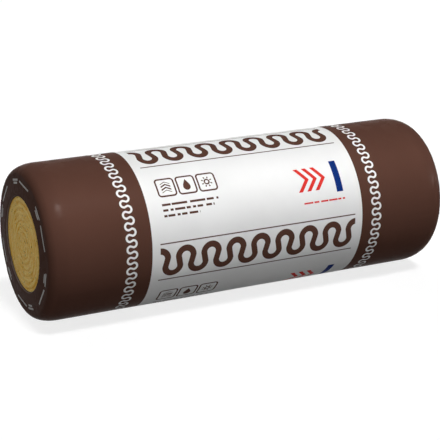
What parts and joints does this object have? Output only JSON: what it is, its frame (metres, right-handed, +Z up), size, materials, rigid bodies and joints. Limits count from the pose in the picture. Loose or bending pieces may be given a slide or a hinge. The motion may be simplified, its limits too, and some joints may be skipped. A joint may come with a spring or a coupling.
{
  "type": "insulation roll",
  "caption": "Rolled mineral-wool insulation mat in a printed plastic film sleeve with rounded shoulders; the wool's spiral shows in a round opening at each end.",
  "frame": {"origin": "centre of the roll's footprint, on the floor that it lies on", "axes": "+X along the roll's axis, +Z up; the end seen in the picture faces -X and the picture's front is -Y"},
  "size_m": [1.2, 0.426, 0.4259],
  "materials": {
    "wool": "matte fibrous mineral wool",
    "film": "satin printed polyethylene film"
  },
  "bodies": {
    "root": {"wool_mat": "wool", "wrap_film": "film"}
  },
  "joints": []
}
